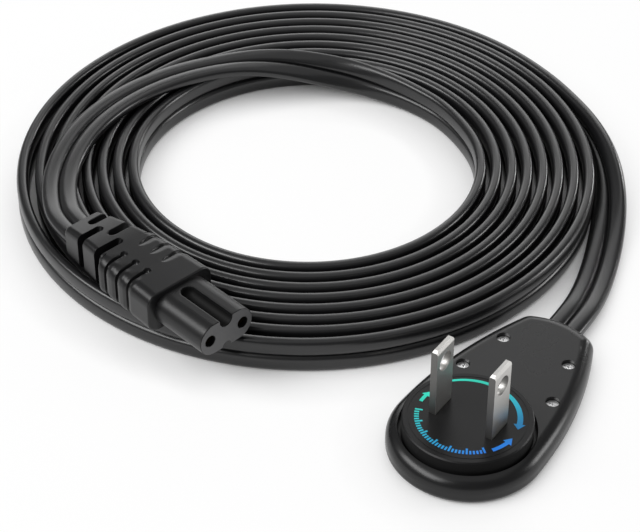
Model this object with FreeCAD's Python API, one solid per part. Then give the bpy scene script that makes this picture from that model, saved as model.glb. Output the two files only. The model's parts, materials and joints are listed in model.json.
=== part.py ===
"""Flat low profile plug with a turning blade disc, its coiled flat lead and a two-hole connector.

Millimetres. The origin is on the disc's turning axis, on the plug's back face.
+Z runs along the blades, +Y towards the lead, and the two blades stand in a row along X.
"""
import FreeCAD, Part
import math
import os

from FreeCAD import Vector

# Blades of a two-pole flat-pin plug
BLADE_SPACING = 12.7
BLADE_WIDTH = 6.1
BLADE_THICKNESS = 1.45
BLADE_LENGTH = 15.9
BLADE_TIP_RUN = 0.9
BLADE_TIP_FLAT = 0.7
BLADE_CORNER = 0.5
BLADE_HOLE_RADIUS = 2.1
BLADE_HOLE_FROM_TIP = 4.2

# Housing plan: round end about the disc, long side arcs, convex lead end
END_RADIUS = 16.0
LEAD_END_HALF_WIDTH = 7.1
LEAD_END_REACH = 39.7
LEAD_END_RADIUS = 16.0
LEAD_END_CORNER = 3.6

# Housing heights, walls and edges
HOUSING_HEIGHT = 5.5
PARTING_HEIGHT = 1.6
SIDE_WALL = 1.3
ROOF = 1.2
FLOOR = 1.2
TOP_EDGE_RADIUS = 3.0
BOTTOM_EDGE_RADIUS = 1.3
LIP_THICKNESS = 0.6
LIP_RISE = 0.8

# Turning disc and what it carries
DISC_RIM = 3.0
DISC_RISE = 2.5
DISC_EDGE = 0.25
DISC_LINE_INSET = 1.1
DISC_LINE_WIDTH = 0.25
DISC_LINE_DEPTH = 0.06
OPENING_GAP = 0.6
OPENING_EDGE = 0.2
FLANGE_OVERLAP = 0.7
FLANGE_THICKNESS = 0.8
POST_RADIUS = 2.0
POST_REACH = 0.8
CARRIER_INSET = 1.2
CARRIER_THICKNESS = 0.9
FOOT_THICKNESS = 0.7
FOOT_EDGE = 0.1
RIVET_RADIUS = 0.6

# Slip rings and the springs that rub on them
RING_WIDTH = 2.0
RING_THICKNESS = 0.4
OUTER_RING_INSET = 1.2
INNER_RING_RADIUS = 4.6
SPRING_THICKNESS = 0.5
SPRING_WIDTH = 2.6
SPRING_X = 4.2
SPRING_RISE = 1.35
SPRING_RAMP = 1.1
SPRING_FLAT = 1.0
SPRING_LEAD = 3.0
SPRING_END_Y = 22.0
PEG_Y = 17.0
PEG_RADIUS = 0.6
PEG_RISE = 0.4

# Cover screws
COVER_SCREW_ROWS = [15.6, 27.2]
COVER_SCREW_INSET = 4.35
COUNTERBORE_RADIUS = 1.45
COUNTERBORE_DEPTH = 0.8
HEAD_RADIUS = 1.35
HEAD_HEIGHT = 0.7
SHANK_RADIUS = 0.7
BOSS_RADIUS = 2.1
BOSS_JOINT = 2.4
SCREW_FLOOR = 0.5
RECESS_WIDTH = 0.35
RECESS_LENGTH = 1.7
RECESS_DEPTH = 0.3

# Small screws for the carrier and the lead clamp
SMALL_HEAD_RADIUS = 1.05
SMALL_HEAD_HEIGHT = 0.5
SMALL_SHANK_RADIUS = 0.5
CARRIER_SCREW_GRIP = 1.7

# Flat twin lead
LEAD_WIDTH = 8.0
LEAD_THICKNESS = 2.6
LEAD_EDGE_RADIUS = 1.1
LOBE_OFFSET = 2.05
CORE_RADIUS = 1.1
JACKET_END_Y = 31.0
CORE_END_Y = 23.0
STRAND_LENGTH = 3.2

# Lead clamp
CLAMP_Y = 33.4
CLAMP_LENGTH = 3.0
CLAMP_THICKNESS = 0.4
CLAMP_SIDE_GAP = 0.3
CLAMP_FOOT_RISE = 0.8

# Coil of lead standing on its edge, wound clockwise and outwards
COIL_CENTRE = (-74.6, 55.5)
COIL_START_ANGLE = 34.0
COIL_TURNS = 8
COIL_FIRST_RADIUS = 38.7
COIL_PITCH = 3.5
COIL_TURN_EDGE = 0.7
COIL_WEB = 0.9

# Route of the lead from the plug to the coil: x, y and the height of its underside
LEAD_ROUTE = [
    (0.0, JACKET_END_Y, FLOOR),
    (0.0, 44.5, FLOOR),
    (-1.6, 57.8, 0.2),
    (-4.6, 68.2, 0.05),
    (-8.0, 76.9, 0.05),
    (-12.1, 84.8, 0.05),
    (-17.8, 93.6, 0.05),
]

# Two-hole connector on top of the coil
CONNECTOR_REAR = (-95.9, 0.0)
CONNECTOR_ANGLE = -12.4

# Route of the tail from the connector to the coil's inner side: x, y and the gap under it
TAIL_START_INSIDE = 0.8
TAIL_ROUTE = [
    (-102.5, 2.4, 1.4),
    (-109.5, 7.2, 0.3),
    (-115.8, 14.4, 0.05),
    (-120.5, 23.2, 0.05),
    (-123.4, 33.3, 0.05),
    (-124.1, 43.8, 0.05),
    (-122.6, 54.2, 0.05),
    (-119.0, 64.1, 0.05),
    (-113.3, 72.9, 0.05),
    (-106.2, 79.4, 0.05),
]
TAIL_START_GAP = 1.9
ROUTE_ARC_SHARE = 0.45

# Connector sizes
NOSE_WIDTH = 13.8
NOSE_HEIGHT = 7.4
NOSE_LENGTH = 14.2
PIN_PITCH = 8.6
PIN_HOLE_RADIUS = 1.3
KEY_HALF_WIDTH = 1.65
KEY_DEPTH = 2.05
KEY_LENGTH = 11.35
TANG_INSET = 1.1
TANG_LENGTH = 8.0
CONTACT_RADIUS = 1.75
CONTACT_BORE_RADIUS = 1.25
CONTACT_FROM_FACE = 1.2
CONTACT_LENGTH = 9.5
CONTACT_TAIL_RADIUS = 0.9
GRIP_WIDTH = 17.0
GRIP_HEIGHT = 9.4
GRIP_LENGTH = 17.4
GRIP_REAR_WIDTH = 15.4
GRIP_CORNER = 3.0
GROOVE_COUNT = 3
GROOVE_SPACING = 3.75
GROOVE_FIRST = 7.3
GROOVE_WIDTH = 0.9
GROOVE_DEPTH = 0.8
GROOVE_INNER = 2.6
RELIEF_LENGTH = 14.8
RELIEF_FRONT_WIDTH = 13.4
RELIEF_FRONT_HEIGHT = 8.6
RELIEF_REAR_WIDTH = 10.2
RELIEF_REAR_HEIGHT = 5.4
RELIEF_CORNER = 1.3
RELIEF_SLOTS = 4
RELIEF_SLOT_WIDTH = 1.6
RELIEF_SLOT_INNER = 0.9
RELIEF_CORE = 0.5

# Clearances
FIT = 0.05
AXIAL_GAP = 0.12
LOCATING_GAP = 0.1

# Plan sizes worked out from the sizes above
LEAD_END_DRAW_IN = END_RADIUS - LEAD_END_HALF_WIDTH
SIDE_RADIUS = (LEAD_END_DRAW_IN ** 2 + LEAD_END_REACH ** 2) / (2 * LEAD_END_DRAW_IN)


def half_width(y):
    """Half the housing's width at a distance towards the lead."""
    return END_RADIUS - SIDE_RADIUS + math.sqrt(SIDE_RADIUS ** 2 - y ** 2)


DISC_RADIUS = END_RADIUS - DISC_RIM
OPENING_RADIUS = DISC_RADIUS + OPENING_GAP
FLANGE_RADIUS = OPENING_RADIUS + FLANGE_OVERLAP
CARRIER_RADIUS = DISC_RADIUS - CARRIER_INSET
OUTER_RING_RADIUS = CARRIER_RADIUS - OUTER_RING_INSET - RING_WIDTH / 2
CARRIER_SCREW_Y = (OUTER_RING_RADIUS + INNER_RING_RADIUS) / 2
LIP_INSET = SIDE_WALL + LOCATING_GAP
CLAMP_FOOT_X = half_width(CLAMP_Y + CLAMP_LENGTH / 2) - LIP_INSET - LIP_THICKNESS - CLAMP_SIDE_GAP
CLAMP_SCREW_X = (LEAD_WIDTH / 2 + FIT + CLAMP_THICKNESS + CLAMP_FOOT_X) / 2
CLAMP_PLACES = [(side * CLAMP_SCREW_X, CLAMP_Y) for side in (-1, 1)]
SCREW_PLACES = [(side * (half_width(y) - COVER_SCREW_INSET), y) for y in COVER_SCREW_ROWS for side in (-1, 1)]

# Heights worked out from the sizes above
DISC_TOP = HOUSING_HEIGHT + DISC_RISE
ROOF_UNDER = HOUSING_HEIGHT - ROOF
FLANGE_TOP = ROOF_UNDER - AXIAL_GAP
FLANGE_BOTTOM = FLANGE_TOP - FLANGE_THICKNESS
RING_BOTTOM = FLOOR + SPRING_RISE + FIT
RING_TOP = RING_BOTTOM + RING_THICKNESS
CARRIER_TOP = RING_TOP + CARRIER_THICKNESS
FOOT_TOP = CARRIER_TOP + FOOT_THICKNESS
POST_TOP = FOOT_TOP + POST_REACH
BLADE_TIP = DISC_TOP + BLADE_LENGTH
LEAD_TOP = FLOOR + LEAD_THICKNESS
CORE_MIDDLE = FLOOR + CORE_RADIUS + LOCATING_GAP
STRAND_RADIUS = CORE_MIDDLE - FLOOR - SPRING_THICKNESS
HEAD_TOP = HOUSING_HEIGHT - COUNTERBORE_DEPTH
HEAD_SEAT = HEAD_TOP - HEAD_HEIGHT
COIL_HEIGHT = LEAD_WIDTH
CONNECTOR_HEIGHT = COIL_HEIGHT + GRIP_HEIGHT / 2
TAIL_START_HEIGHT = COIL_HEIGHT + TAIL_START_GAP + LEAD_THICKNESS / 2
FEED_DROP = CONNECTOR_HEIGHT - TAIL_START_HEIGHT
CONNECTOR_LENGTH = NOSE_LENGTH + GRIP_LENGTH + RELIEF_LENGTH


def block(x0, x1, y0, y1, z0, z1):
    """Box between two corners."""
    return Part.makeBox(x1 - x0, y1 - y0, z1 - z0, Vector(x0, y0, z0))


def rod(x, y, z0, z1, radius):
    """Upright cylinder."""
    return Part.makeCylinder(radius, z1 - z0, Vector(x, y, z0))


def cone(x, y, z0, z1, r0, r1):
    """Upright cone."""
    return Part.makeCone(r0, r1, z1 - z0, Vector(x, y, z0))


def washer(inner, outer, z0, z1):
    """Flat ring about the disc's axis."""
    return rod(0, 0, z0, z1, outer).cut(rod(0, 0, z0, z1, inner))


def prism(points, direction):
    """Solid from a closed flat outline, pushed along a direction."""
    wire = Part.makePolygon([Vector(*p) for p in points] + [Vector(*points[0])])
    return Part.Face(wire).extrude(Vector(*direction))


def fuse_all(shapes):
    """One solid out of several that touch."""
    return shapes[0].fuse(shapes[1:]).removeSplitter()


def arc_edge(centre, radius, start, end):
    """Arc in a level plane, between two angles in radians."""
    at = [
        Vector(centre[0] + radius * math.cos(a), centre[1] + radius * math.sin(a), 0)
        for a in (start, (start + end) / 2, end)
    ]
    return Part.Arc(*at).toShape()


def corner_centre():
    """Centre of the lead end's right corner, inside both the side arc and the end arc."""
    side_x = END_RADIUS - SIDE_RADIUS
    end_y = LEAD_END_REACH - LEAD_END_RADIUS
    to_side = SIDE_RADIUS - LEAD_END_CORNER
    to_end = LEAD_END_RADIUS - LEAD_END_CORNER
    span = math.hypot(side_x, end_y)
    along = (to_end ** 2 - to_side ** 2 + span ** 2) / (2 * span)
    across = math.sqrt(to_end ** 2 - along ** 2)
    ux = side_x / span
    uy = -end_y / span
    return (along * ux + across * uy, end_y + along * uy - across * ux)


def outline(inset):
    """Closed plan of the housing, drawn in by an even inset."""
    side_c = (END_RADIUS - SIDE_RADIUS, 0)
    end_c = (0, LEAD_END_REACH - LEAD_END_RADIUS)
    corner_c = corner_centre()
    side_a = math.atan2(corner_c[1] - side_c[1], corner_c[0] - side_c[0])
    end_a = math.atan2(corner_c[1] - end_c[1], corner_c[0] - end_c[0])
    half = math.pi
    edges = [
        arc_edge((0, 0), END_RADIUS - inset, -half, 0),
        arc_edge(side_c, SIDE_RADIUS - inset, 0, side_a),
        arc_edge(corner_c, LEAD_END_CORNER - inset, side_a, end_a),
        arc_edge(end_c, LEAD_END_RADIUS - inset, end_a, half - end_a),
        arc_edge((-corner_c[0], corner_c[1]), LEAD_END_CORNER - inset, half - end_a, half - side_a),
        arc_edge((-side_c[0], 0), SIDE_RADIUS - inset, half - side_a, half),
    ]
    return Part.Wire(edges)


def plan_slab(inset, z0, z1):
    """Housing plan with an inset, between two heights."""
    face = Part.Face(outline(inset))
    face.translate(Vector(0, 0, z0))
    return face.extrude(Vector(0, 0, z1 - z0))


def edges_at(shape, height):
    """Edges that lie level at a height."""
    return [
        e for e in shape.Edges
        if abs(e.BoundBox.ZMin - height) < 1e-4 and abs(e.BoundBox.ZMax - height) < 1e-4
    ]


def lead_passage(start, z0, z1):
    """Room for the lead through the housing's end."""
    half = LEAD_WIDTH / 2 + FIT
    return block(-half, half, start, LEAD_END_REACH + 1, z0, z1)


def front_cover():
    outer = plan_slab(0, PARTING_HEIGHT, HOUSING_HEIGHT)
    outer = outer.makeFillet(TOP_EDGE_RADIUS, edges_at(outer, HOUSING_HEIGHT))
    shell = outer.cut(plan_slab(SIDE_WALL, PARTING_HEIGHT, ROOF_UNDER))
    bosses = [rod(x, y, BOSS_JOINT, ROOF_UNDER, BOSS_RADIUS) for x, y in SCREW_PLACES]
    shell = fuse_all([shell] + bosses)
    cuts = [
        rod(0, 0, PARTING_HEIGHT, HOUSING_HEIGHT, OPENING_RADIUS),
        cone(0, 0, HOUSING_HEIGHT - OPENING_EDGE, HOUSING_HEIGHT, OPENING_RADIUS, OPENING_RADIUS + OPENING_EDGE),
        lead_passage(JACKET_END_Y, PARTING_HEIGHT, LEAD_TOP + FIT),
    ]
    for x, y in SCREW_PLACES:
        cuts.append(rod(x, y, HEAD_SEAT, HOUSING_HEIGHT, COUNTERBORE_RADIUS))
        cuts.append(rod(x, y, BOSS_JOINT, HEAD_SEAT, SHANK_RADIUS + LOCATING_GAP))
    return shell.cut(cuts)


def back_cover():
    outer = plan_slab(0, 0, PARTING_HEIGHT)
    outer = outer.makeFillet(BOTTOM_EDGE_RADIUS, edges_at(outer, 0))
    tray = outer.cut(plan_slab(SIDE_WALL, FLOOR, PARTING_HEIGHT))
    lip_top = PARTING_HEIGHT + LIP_RISE
    lip = plan_slab(LIP_INSET, FLOOR, lip_top).cut(plan_slab(LIP_INSET + LIP_THICKNESS, FLOOR, lip_top))
    clamp_seat = FLOOR + CLAMP_FOOT_RISE
    peg_top = FLOOR + SPRING_THICKNESS + PEG_RISE
    pieces = [tray, lip, rod(0, 0, FLOOR, POST_TOP, POST_RADIUS)]
    pieces += [rod(x, y, FLOOR, BOSS_JOINT, BOSS_RADIUS) for x, y in SCREW_PLACES]
    pieces += [rod(x, y, FLOOR, clamp_seat, CLAMP_LENGTH / 2 - LOCATING_GAP) for x, y in CLAMP_PLACES]
    pieces += [rod(side * SPRING_X, PEG_Y, FLOOR, peg_top, PEG_RADIUS) for side in (-1, 1)]
    mouth = LEAD_END_REACH - 2 * SIDE_WALL
    cuts = [lead_passage(JACKET_END_Y, FLOOR, lip_top), lead_passage(mouth, FLOOR - LOCATING_GAP, FLOOR)]
    cuts += [rod(x, y, SCREW_FLOOR, BOSS_JOINT, SHANK_RADIUS + FIT) for x, y in SCREW_PLACES]
    cuts += [rod(x, y, SCREW_FLOOR, clamp_seat, SMALL_SHANK_RADIUS + FIT) for x, y in CLAMP_PLACES]
    return fuse_all(pieces).cut(cuts)


def cross_recess(x, y, top):
    """Cross-shaped driver recess in a screw head."""
    long_half = RECESS_LENGTH / 2
    thin_half = RECESS_WIDTH / 2
    bottom = top - RECESS_DEPTH
    return [
        block(x - long_half, x + long_half, y - thin_half, y + thin_half, bottom, top),
        block(x - thin_half, x + thin_half, y - long_half, y + long_half, bottom, top),
    ]


def cover_screw(x, y):
    body = fuse_all([
        rod(x, y, HEAD_SEAT, HEAD_TOP, HEAD_RADIUS),
        rod(x, y, SCREW_FLOOR + LOCATING_GAP, HEAD_SEAT, SHANK_RADIUS),
    ])
    return body.cut(cross_recess(x, y, HEAD_TOP))


def clamp_screw(x, y):
    seat = FLOOR + CLAMP_FOOT_RISE + CLAMP_THICKNESS
    return fuse_all([
        rod(x, y, seat, seat + SMALL_HEAD_HEIGHT, SMALL_HEAD_RADIUS),
        rod(x, y, SCREW_FLOOR + LOCATING_GAP, seat, SMALL_SHANK_RADIUS),
    ])


def carrier_screw(y):
    head_top = RING_TOP + SMALL_HEAD_HEIGHT
    return fuse_all([
        rod(0, y, RING_TOP, head_top, SMALL_HEAD_RADIUS),
        rod(0, y, head_top, CARRIER_TOP + CARRIER_SCREW_GRIP, SMALL_SHANK_RADIUS),
    ])


def lead_clamp():
    """Bent strap over the lead, with a screwed foot each side."""
    inner = LEAD_WIDTH / 2 + FIT
    foot = FLOOR + CLAMP_FOOT_RISE
    top = LEAD_TOP + CLAMP_THICKNESS
    section = [
        (-CLAMP_FOOT_X, foot), (-inner, foot), (-inner, LEAD_TOP), (inner, LEAD_TOP), (inner, foot),
        (CLAMP_FOOT_X, foot), (CLAMP_FOOT_X, foot + CLAMP_THICKNESS),
        (inner + CLAMP_THICKNESS, foot + CLAMP_THICKNESS), (inner + CLAMP_THICKNESS, top),
        (-inner - CLAMP_THICKNESS, top), (-inner - CLAMP_THICKNESS, foot + CLAMP_THICKNESS),
        (-CLAMP_FOOT_X, foot + CLAMP_THICKNESS),
    ]
    start = CLAMP_Y - CLAMP_LENGTH / 2
    strap = prism([(x, start, z) for x, z in section], (0, CLAMP_LENGTH, 0))
    return strap.cut([rod(x, y, foot, top, SMALL_SHANK_RADIUS + FIT) for x, y in CLAMP_PLACES])


def contact_spring(side, contact_y):
    """Bent strip from its wire end to the raised spot under its slip ring."""
    low = FLOOR
    high = FLOOR + SPRING_RISE - SPRING_THICKNESS
    start = contact_y - SPRING_FLAT / 2
    end = contact_y + SPRING_FLAT / 2
    line = [
        (start - SPRING_RAMP - SPRING_LEAD, low), (start - SPRING_RAMP, low), (start, high),
        (end, high), (end + SPRING_RAMP, low), (SPRING_END_Y, low),
    ]
    over = [(y, z + SPRING_THICKNESS) for y, z in reversed(line)]
    x0 = side * SPRING_X - SPRING_WIDTH / 2
    strip = prism([(x0, y, z) for y, z in line + over], (SPRING_WIDTH, 0, 0))
    return strip.cut(rod(side * SPRING_X, PEG_Y, low, low + SPRING_THICKNESS, PEG_RADIUS + FIT))


def ring_reach(radius):
    """Distance along Y at which a spring crosses a slip ring's middle."""
    return math.sqrt(radius ** 2 - SPRING_X ** 2)


def path_edges(points):
    """Straight runs joined by tangent arcs, each as large as its two runs allow."""
    at = [Vector(*p) for p in points]
    edges = []
    radii = []
    begin = at[0]
    for before, corner, after in zip(at, at[1:], at[2:]):
        back = (before - corner).normalize()
        on = (after - corner).normalize()
        half_turn = (math.pi - back.getAngle(on)) / 2
        setback = ROUTE_ARC_SHARE * min((before - corner).Length, (after - corner).Length)
        radius = setback / math.tan(half_turn)
        first = corner + back * setback
        last = corner + on * setback
        bisector = (back + on).normalize()
        middle = corner + bisector * (radius / math.cos(half_turn) - radius)
        edges.append(Part.LineSegment(begin, first).toShape())
        edges.append(Part.Arc(first, middle, last).toShape())
        radii.append(radius)
        begin = last
    edges.append(Part.LineSegment(begin, at[-1]).toShape())
    return edges, radii


def lead_section(point, heading):
    """Rounded flat section of the lead, across a heading and level."""
    across = heading.cross(Vector(0, 0, 1)).normalize()
    rise = across.cross(heading).normalize()
    half_w = LEAD_WIDTH / 2
    half_t = LEAD_THICKNESS / 2
    inner_w = half_w - LEAD_EDGE_RADIUS
    inner_t = half_t - LEAD_EDGE_RADIUS
    lean = LEAD_EDGE_RADIUS * math.sqrt(0.5)

    def place(a, b):
        return point + across * a + rise * b

    edges = []
    for sa, sb in ((1, 1), (-1, 1), (-1, -1), (1, -1)):
        side = (sa * half_w, sb * inner_t)
        level = (sa * inner_w, sb * half_t)
        start, end = (side, level) if sa * sb > 0 else (level, side)
        turn = (sa * (inner_w + lean), sb * (inner_t + lean))
        edges.append((start, turn, end))
    shapes = []
    for index, (start, turn, end) in enumerate(edges):
        following = edges[(index + 1) % len(edges)][0]
        shapes.append(Part.Arc(place(*start), place(*turn), place(*end)).toShape())
        shapes.append(Part.LineSegment(place(*end), place(*following)).toShape())
    return Part.Wire(shapes)


def lead_length(name, points):
    """Swept flat lead along a route, with its bend radii and volume printed."""
    edges, radii = path_edges(points)
    spine = Part.Wire(edges)
    heading = (Vector(*points[1]) - Vector(*points[0])).normalize()
    section = lead_section(Vector(*points[0]), heading)
    sweep = Part.BRepOffsetAPI.MakePipeShell(spine)
    sweep.setBiNormalMode(Vector(0, 0, 1))
    sweep.add(section, False, False)
    sweep.build()
    sweep.makeSolid()
    solid = sweep.shape()
    expected = Part.Face(section).Area * spine.Length
    print(name, "radii", [round(r, 1) for r in radii])
    print(name, "length", round(spine.Length, 1), "volume ratio", round(solid.Volume / expected, 4))
    return solid


def core(side, start_y, end_y, radius):
    """Insulated core from the lead's end, spread to its contact spring."""
    spread = (start_y - end_y) / 3
    points = [
        (side * LOBE_OFFSET, start_y, CORE_MIDDLE),
        (side * LOBE_OFFSET, start_y - spread, CORE_MIDDLE),
        (side * SPRING_X, end_y + spread, CORE_MIDDLE),
        (side * SPRING_X, end_y, CORE_MIDDLE),
    ]
    edges, _ = path_edges(points)
    section = Part.Wire(Part.makeCircle(radius, Vector(*points[0]), Vector(0, -1, 0)))
    return Part.Wire(edges).makePipeShell([section], True, True)


def strands(side):
    """Bared copper laid on the contact spring."""
    return Part.makeCylinder(
        STRAND_RADIUS, STRAND_LENGTH, Vector(side * SPRING_X, CORE_END_Y, CORE_MIDDLE), Vector(0, -1, 0)
    )


def coil_half(shift, first_radius, start_angle):
    """Half a turn of every winding, each with two lobes, joined by a web."""
    half = LEAD_THICKNESS / 2
    edge = COIL_TURN_EDGE
    middle = COIL_HEIGHT / 2
    under = []
    over = []
    for turn in range(COIL_TURNS):
        r = first_radius + turn * COIL_PITCH
        over += [
            (r - half, middle + COIL_WEB), (r - half, COIL_HEIGHT - edge), (r - half + edge, COIL_HEIGHT),
            (r + half - edge, COIL_HEIGHT), (r + half, COIL_HEIGHT - edge), (r + half, middle + COIL_WEB),
        ]
        under += [
            (r - half, middle - COIL_WEB), (r - half, edge), (r - half + edge, 0),
            (r + half - edge, 0), (r + half, edge), (r + half, middle - COIL_WEB),
        ]
    angle = math.radians(COIL_START_ANGLE)
    out = (math.cos(angle), math.sin(angle))
    centre = (COIL_CENTRE[0] + shift * out[0], COIL_CENTRE[1] + shift * out[1])
    place = Vector(centre[0], centre[1], 0)
    section = [(r, 0, z) for r, z in over + under[::-1]]
    face = Part.Face(Part.makePolygon([Vector(*p) for p in section] + [Vector(*section[0])]))
    half_turn = face.revolve(Vector(0, 0, 0), Vector(0, 0, 1), -180)
    half_turn.Placement = FreeCAD.Placement(place, FreeCAD.Rotation(Vector(0, 0, 1), start_angle))
    return half_turn


def lead_coil():
    """Whole coil: a spiral of half turns about two centres."""
    quarter = COIL_PITCH / 4
    near = coil_half(-quarter, COIL_FIRST_RADIUS + quarter, COIL_START_ANGLE)
    far = coil_half(quarter, COIL_FIRST_RADIUS + 3 * quarter, COIL_START_ANGLE + 180)
    return near.fuse(far).removeSplitter()


def rotor_disc():
    body = fuse_all([
        rod(0, 0, FLANGE_BOTTOM, FLANGE_TOP, FLANGE_RADIUS),
        rod(0, 0, FLANGE_BOTTOM, DISC_TOP - DISC_EDGE, DISC_RADIUS),
        cone(0, 0, DISC_TOP - DISC_EDGE, DISC_TOP, DISC_RADIUS, DISC_RADIUS - DISC_EDGE),
    ])
    line = DISC_RADIUS - DISC_LINE_INSET
    cuts = [
        rod(0, 0, FLANGE_BOTTOM, CARRIER_TOP, CARRIER_RADIUS + FIT),
        rod(0, 0, FLANGE_BOTTOM, POST_TOP + LOCATING_GAP, POST_RADIUS + FIT),
        washer(line - DISC_LINE_WIDTH, line, DISC_TOP - DISC_LINE_DEPTH, DISC_TOP),
    ]
    cuts += [blade_foot(-1, OUTER_RING_RADIUS, FIT), blade_foot(1, INNER_RING_RADIUS, FIT)]
    hole_end = CARRIER_TOP + CARRIER_SCREW_GRIP + LOCATING_GAP
    for side in (-1, 1):
        cuts.append(blade_plate(side, FIT))
        cuts.append(rod(0, side * CARRIER_SCREW_Y, CARRIER_TOP, hole_end, SMALL_SHANK_RADIUS + FIT))
    return body.cut(cuts)


def blade_plate(side, grow):
    """Upright part of a blade below its tip, grown for its slot."""
    half_t = BLADE_THICKNESS / 2 + grow
    half_w = BLADE_WIDTH / 2 + grow
    x = side * BLADE_SPACING / 2
    return block(x - half_t, x + half_t, -half_w, half_w, CARRIER_TOP, BLADE_TIP - BLADE_TIP_RUN)


def blade_foot(side, ring_radius, grow):
    """Level foot of a blade on the ring carrier, reaching over its slip ring."""
    half_w = BLADE_WIDTH / 2 + grow
    heel = side * BLADE_SPACING / 2 + BLADE_THICKNESS / 2 + grow
    toe = side * ring_radius - RIVET_RADIUS - FOOT_EDGE - grow
    return block(toe, heel, -half_w, half_w, CARRIER_TOP, FOOT_TOP + grow)


def blade(side, ring_radius):
    half_t = BLADE_THICKNESS / 2
    half_w = BLADE_WIDTH / 2
    tip_half = BLADE_TIP_FLAT / 2
    x = side * BLADE_SPACING / 2
    shoulder = BLADE_TIP - BLADE_TIP_RUN
    tip = prism(
        [(x - half_t, -half_w, shoulder), (x + half_t, -half_w, shoulder),
         (x + tip_half, -half_w, BLADE_TIP), (x - tip_half, -half_w, BLADE_TIP)],
        (0, BLADE_WIDTH, 0),
    )
    hole = Part.makeCylinder(
        BLADE_HOLE_RADIUS, BLADE_THICKNESS, Vector(x - half_t, 0, BLADE_TIP - BLADE_HOLE_FROM_TIP), Vector(1, 0, 0)
    )
    corners = [
        prism([(x - half_t, y, BLADE_TIP), (x - half_t, y - s * BLADE_CORNER, BLADE_TIP),
               (x - half_t, y, BLADE_TIP - BLADE_CORNER)], (BLADE_THICKNESS, 0, 0))
        for s, y in ((-1, -half_w), (1, half_w))
    ]
    rivet = rod(side * ring_radius, 0, RING_TOP, CARRIER_TOP, RIVET_RADIUS)
    foot = blade_foot(side, ring_radius, 0)
    return fuse_all([blade_plate(side, 0), tip, foot, rivet]).cut([hole] + corners)


def ring_carrier():
    plate = washer(POST_RADIUS + 2 * FIT, CARRIER_RADIUS, RING_TOP, CARRIER_TOP)
    cuts = [
        rod(-OUTER_RING_RADIUS, 0, RING_TOP, CARRIER_TOP, RIVET_RADIUS + FIT),
        rod(INNER_RING_RADIUS, 0, RING_TOP, CARRIER_TOP, RIVET_RADIUS + FIT),
    ]
    for side in (-1, 1):
        y = side * CARRIER_SCREW_Y
        cuts.append(rod(0, y, RING_TOP, RING_TOP + SMALL_HEAD_HEIGHT, SMALL_HEAD_RADIUS + FIT))
        cuts.append(rod(0, y, RING_TOP, CARRIER_TOP, SMALL_SHANK_RADIUS + FIT))
    return plate.cut(cuts)


def slip_ring(radius):
    return washer(radius - RING_WIDTH / 2, radius + RING_WIDTH / 2, RING_BOTTOM, RING_TOP)


def rounded_section(x, width, height, corner, drop):
    """Upright rounded rectangle across the connector's axis."""
    half_w = width / 2
    half_h = height / 2
    lean = corner * (1 - math.sqrt(0.5))
    shapes = []
    ends = []
    for sy, sz in ((1, 1), (-1, 1), (-1, -1), (1, -1)):
        side = Vector(x, sy * half_w, sz * (half_h - corner) - drop)
        level = Vector(x, sy * (half_w - corner), sz * half_h - drop)
        turn = Vector(x, sy * (half_w - lean), sz * (half_h - lean) - drop)
        ends.append((side, turn, level) if sy * sz > 0 else (level, turn, side))
    for index, (start, turn, end) in enumerate(ends):
        shapes.append(Part.Arc(start, turn, end).toShape())
        shapes.append(Part.LineSegment(end, ends[(index + 1) % 4][0]).toShape())
    return Part.Wire(shapes)


def stadium(x0, x1, width, height):
    """Bar with round sides along the connector's axis."""
    radius = height / 2
    reach = width / 2 - radius
    bars = [Part.makeCylinder(radius, x1 - x0, Vector(x0, s * reach, 0), Vector(1, 0, 0)) for s in (-1, 1)]
    return fuse_all(bars + [block(x0, x1, -reach, reach, -radius, radius)])


def key_groove(side):
    """Groove along the middle of the nose, open at its face and round at its closed end."""
    floor = NOSE_HEIGHT / 2 - KEY_DEPTH
    top = NOSE_HEIGHT
    bar = block(-KEY_LENGTH, 1, -KEY_HALF_WIDTH, KEY_HALF_WIDTH, floor + KEY_HALF_WIDTH, top)
    bed = Part.makeCylinder(
        KEY_HALF_WIDTH, KEY_LENGTH + 1, Vector(-KEY_LENGTH, 0, floor + KEY_HALF_WIDTH), Vector(1, 0, 0)
    )
    end = rod(-KEY_LENGTH, 0, floor + KEY_HALF_WIDTH, top, KEY_HALF_WIDTH)
    ball = Part.makeSphere(KEY_HALF_WIDTH, Vector(-KEY_LENGTH, 0, floor + KEY_HALF_WIDTH))
    groove = fuse_all([bar, bed, end, ball])
    if side < 0:
        groove.rotate(Vector(0, 0, 0), Vector(1, 0, 0), 180)
    return groove


def along(side, x0, x1, radius):
    """Cylinder along one of the connector's two pin lines."""
    return Part.makeCylinder(radius, x1 - x0, Vector(x0, side * PIN_PITCH / 2, 0), Vector(1, 0, 0))


def connector_insert():
    tang_end = -NOSE_LENGTH - TANG_LENGTH
    contact_end = -CONTACT_FROM_FACE - CONTACT_LENGTH
    body = fuse_all([
        stadium(-NOSE_LENGTH, 0, NOSE_WIDTH, NOSE_HEIGHT),
        stadium(tang_end, -NOSE_LENGTH, NOSE_WIDTH - 2 * TANG_INSET, NOSE_HEIGHT - 2 * TANG_INSET),
    ])
    cuts = [key_groove(1), key_groove(-1)]
    for side in (-1, 1):
        cuts.append(along(side, -CONTACT_FROM_FACE, 0, PIN_HOLE_RADIUS))
        cuts.append(along(side, contact_end, -CONTACT_FROM_FACE, CONTACT_RADIUS))
        cuts.append(along(side, tang_end, contact_end, CONTACT_TAIL_RADIUS))
    return body.cut(cuts)


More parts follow.
